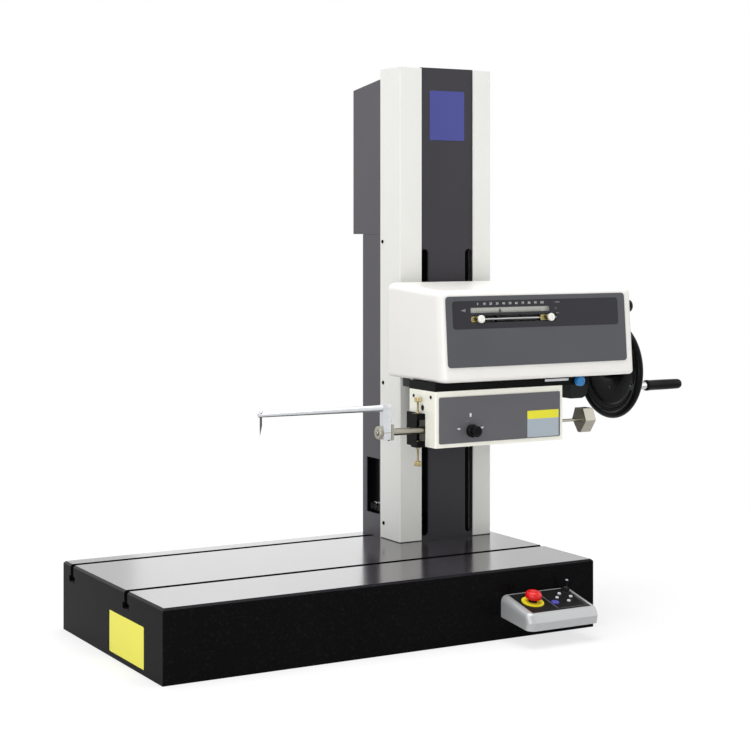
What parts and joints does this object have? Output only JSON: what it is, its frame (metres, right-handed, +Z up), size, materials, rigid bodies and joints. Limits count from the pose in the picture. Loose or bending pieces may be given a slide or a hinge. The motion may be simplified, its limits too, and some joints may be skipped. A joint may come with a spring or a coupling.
{
  "type": "contour measuring machine",
  "caption": "Bench contour measuring machine: T-slotted stone base, column with height carriage, drive unit with handwheel, pickup with pivoting stylus arm and a control box.",
  "frame": {"origin": "centre of the base's underside", "axes": "+X to the right along the base, +Y to the back where the column stands, +Z up"},
  "size_m": [0.8215, 0.4018, 0.73],
  "materials": {
    "black_stone": "ground and polished",
    "white_shell": "smooth satin paint",
    "dark_panel": "fine matt paint",
    "cover_grey": "fine textured paint",
    "frame_casting": "painted casting",
    "ground_steel": "ground",
    "cover_white": "moulded, semi gloss",
    "panel_grey": "fine matt film",
    "scale_white": "printed scale",
    "alloy": "machined",
    "black_phenolic": "glossy moulded",
    "black_plastic": "moulded",
    "white_plastic": "moulded",
    "blue_plastic": "moulded",
    "brass": "turned",
    "cream_paint": "smooth paint",
    "black_anodised": "black anodised",
    "dark_green": "painted casting",
    "bright_steel": "turned",
    "nickel": "nickel plated",
    "satin_alloy": "satin",
    "rubber": "moulded",
    "case_silver": "silver paint",
    "estop_red": "moulded",
    "estop_yellow": "moulded",
    "key_white": "moulded",
    "key_blue": "moulded",
    "motor_black": "painted"
  },
  "bodies": {
    "root": {"base_block": "black_stone", "column_frame": "frame_casting", "column_shell_left": "white_shell", "column_shell_right": "white_shell", "column_front_panel": "dark_panel", "column_top_cap": "white_shell", "rear_cover_lower": "cover_grey", "rear_cover_upper": "cover_grey", "connector_panel": "cover_grey", "z_guide_rails": "ground_steel", "z_drive_motor": "motor_black", "drive_belt": "rubber", "control_box_shell": "case_silver", "control_panel": "black_plastic", "estop_ring": "estop_yellow"},
    "height_screw": {"z_screw": "ground_steel"},
    "motor_shaft": {"motor_pulley": "alloy"},
    "carriage": {"z_saddle": "black_anodised", "z_bearing_blocks": "ground_steel", "carriage_plate": "black_anodised", "x_beam": "alloy", "feed_screw_bearings": "dark_green", "drive_cover": "cover_white", "scale_panel": "panel_grey", "scale_strip": "scale_white", "limit_rod": "ground_steel"},
    "limit_left": {"limit_slider_left": "white_plastic"},
    "limit_right": {"limit_slider_right": "white_plastic"},
    "side_knob": {"side_knob": "black_plastic"},
    "wheel": {"feed_screw": "ground_steel", "handwheel": "black_phenolic", "crank_pin": "bright_steel"},
    "crank": {"crank_grip": "black_phenolic"},
    "slide": {"x_slide_table": "black_anodised", "x_bearing_blocks": "ground_steel", "x_slide_band": "black_anodised", "scale_pointer": "black_anodised", "pickup_housing": "cream_paint", "pickup_front_panel": "panel_grey", "pivot_block": "alloy", "displacement_sensor": "brass", "limit_bracket": "black_anodised"},
    "clamp_knob": {"clamp_knob": "blue_plastic"},
    "selector": {"selector_knob": "black_plastic"},
    "stop_upper": {"stop_screw_upper": "nickel"},
    "stop_lower": {"stop_screw_lower": "nickel"},
    "arm": {"arm_shaft": "bright_steel", "balance_weight": "bright_steel", "clamp_block": "satin_alloy", "stylus_arm": "satin_alloy", "stylus": "nickel"},
    "thumb": {"thumb_knob": "satin_alloy"},
    "stop_plunger": {"estop_stem": "black_plastic"},
    "stop_head": {"estop_head": "estop_red"},
    "key_up": {"button_up": "key_white"},
    "key_down": {"button_down": "key_white"},
    "key_left": {"button_left": "key_white"},
    "key_right": {"button_right": "key_white"},
    "key_start": {"button_start": "key_blue"},
    "lever": {"jog_lever": "black_plastic"}
  },
  "joints": [
    {"name": "column_lift", "type": "slide", "parent": "root", "child": "carriage", "axis": [0, 0, 1], "range_m": [-0.117, 0.108]},
    {"name": "height_screw_turn", "type": "hinge", "parent": "root", "child": "height_screw", "pos_m": [0.21565, 0.084, 0.3], "axis": [0, 0, 1], "range_deg": [-4217, 3893]},
    {"name": "motor_turn", "type": "hinge", "parent": "root", "child": "motor_shaft", "pos_m": [0.21565, 0.15, 0.6], "axis": [0, 0, 1], "range_deg": [-4217, 3893]},
    {"name": "x_traverse", "type": "slide", "parent": "carriage", "child": "slide", "axis": [1, 0, 0], "range_m": [-0.036, 0.064]},
    {"name": "handwheel_turn", "type": "hinge", "parent": "carriage", "child": "wheel", "pos_m": [0.442, -0.012, 0.3154], "axis": [1, 0, 0], "range_deg": [-653, 1157]},
    {"name": "crank_grip_spin", "type": "hinge", "parent": "wheel", "child": "crank", "pos_m": [0.49, -0.0655, 0.295], "axis": [1, 0, 0], "continuous": true},
    {"name": "left_limit_slide", "type": "slide", "parent": "carriage", "child": "limit_left", "axis": [1, 0, 0], "range_m": [-0.005, 0.044]},
    {"name": "right_limit_slide", "type": "slide", "parent": "carriage", "child": "limit_right", "axis": [1, 0, 0], "range_m": [-0.044, 0.005]},
    {"name": "side_knob_turn", "type": "hinge", "parent": "carriage", "child": "side_knob", "pos_m": [0.415, -0.0785, 0.406], "axis": [1, 0, 0], "range_deg": [-45, 45]},
    {"name": "clamp_knob_turn", "type": "hinge", "parent": "slide", "child": "clamp_knob", "pos_m": [0.327, -0.095, 0.3095], "axis": [0, 1, 0], "range_deg": [-90, 0]},
    {"name": "selector_turn", "type": "hinge", "parent": "slide", "child": "selector", "pos_m": [0.157, -0.095, 0.253], "axis": [0, 1, 0], "range_deg": [-75, 75]},
    {"name": "upper_stop_turn", "type": "hinge", "parent": "slide", "child": "stop_upper", "pos_m": [0.096, -0.0605, 0.28], "axis": [0, 0, 1], "continuous": true},
    {"name": "lower_stop_turn", "type": "hinge", "parent": "slide", "child": "stop_lower", "pos_m": [0.096, -0.0605, 0.225], "axis": [0, 0, 1], "continuous": true},
    {"name": "arm_pivot", "type": "hinge", "parent": "slide", "child": "arm", "pos_m": [0.2, -0.0605, 0.2535], "axis": [0, 1, 0], "range_deg": [-4.4, 4.4]},
    {"name": "thumb_nut_turn", "type": "hinge", "parent": "arm", "child": "thumb", "pos_m": [0.035, -0.0605, 0.2535], "axis": [1, 0, 0], "continuous": true},
    {"name": "stop_push", "type": "slide", "parent": "root", "child": "stop_plunger", "axis": [0, 0.2324, -0.9726], "range_m": [0, 0.004], "stiffness_N_per_m": 1500, "springref_m": -0.0005},
    {"name": "stop_release_turn", "type": "hinge", "parent": "stop_plunger", "child": "stop_head", "pos_m": [0.1855, -0.1874, 0.05632], "axis": [0, -0.2324, 0.9726], "range_deg": [-30, 30], "stiffness_Nm_per_rad": 0.05},
    {"name": "up_key_press", "type": "slide", "parent": "root", "child": "key_up", "axis": [0, 0.2324, -0.9726], "range_m": [0, 0.0012], "stiffness_N_per_m": 400},
    {"name": "down_key_press", "type": "slide", "parent": "root", "child": "key_down", "axis": [0, 0.2324, -0.9726], "range_m": [0, 0.0012], "stiffness_N_per_m": 400},
    {"name": "left_key_press", "type": "slide", "parent": "root", "child": "key_left", "axis": [0, 0.2324, -0.9726], "range_m": [0, 0.0012], "stiffness_N_per_m": 400},
    {"name": "right_key_press", "type": "slide", "parent": "root", "child": "key_right", "axis": [0, 0.2324, -0.9726], "range_m": [0, 0.0012], "stiffness_N_per_m": 400},
    {"name": "start_key_press", "type": "slide", "parent": "root", "child": "key_start", "axis": [0, 0.2324, -0.9726], "range_m": [0, 0.0012], "stiffness_N_per_m": 400},
    {"name": "jog_lever_tilt", "type": "hinge", "parent": "root", "child": "lever", "pos_m": [0.2488, -0.16753, 0.05408], "axis": [0, 0.9726, 0.2324], "range_deg": [-15, 15], "stiffness_Nm_per_rad": 0.02}
  ],
  "couplings": [
    {"joint": "height_screw_turn", "follows": "column_lift", "rad_per_m": 628.32},
    {"joint": "motor_turn", "follows": "column_lift", "rad_per_m": 628.32},
    {"joint": "handwheel_turn", "follows": "x_traverse", "rad_per_m": 314.16}
  ]
}
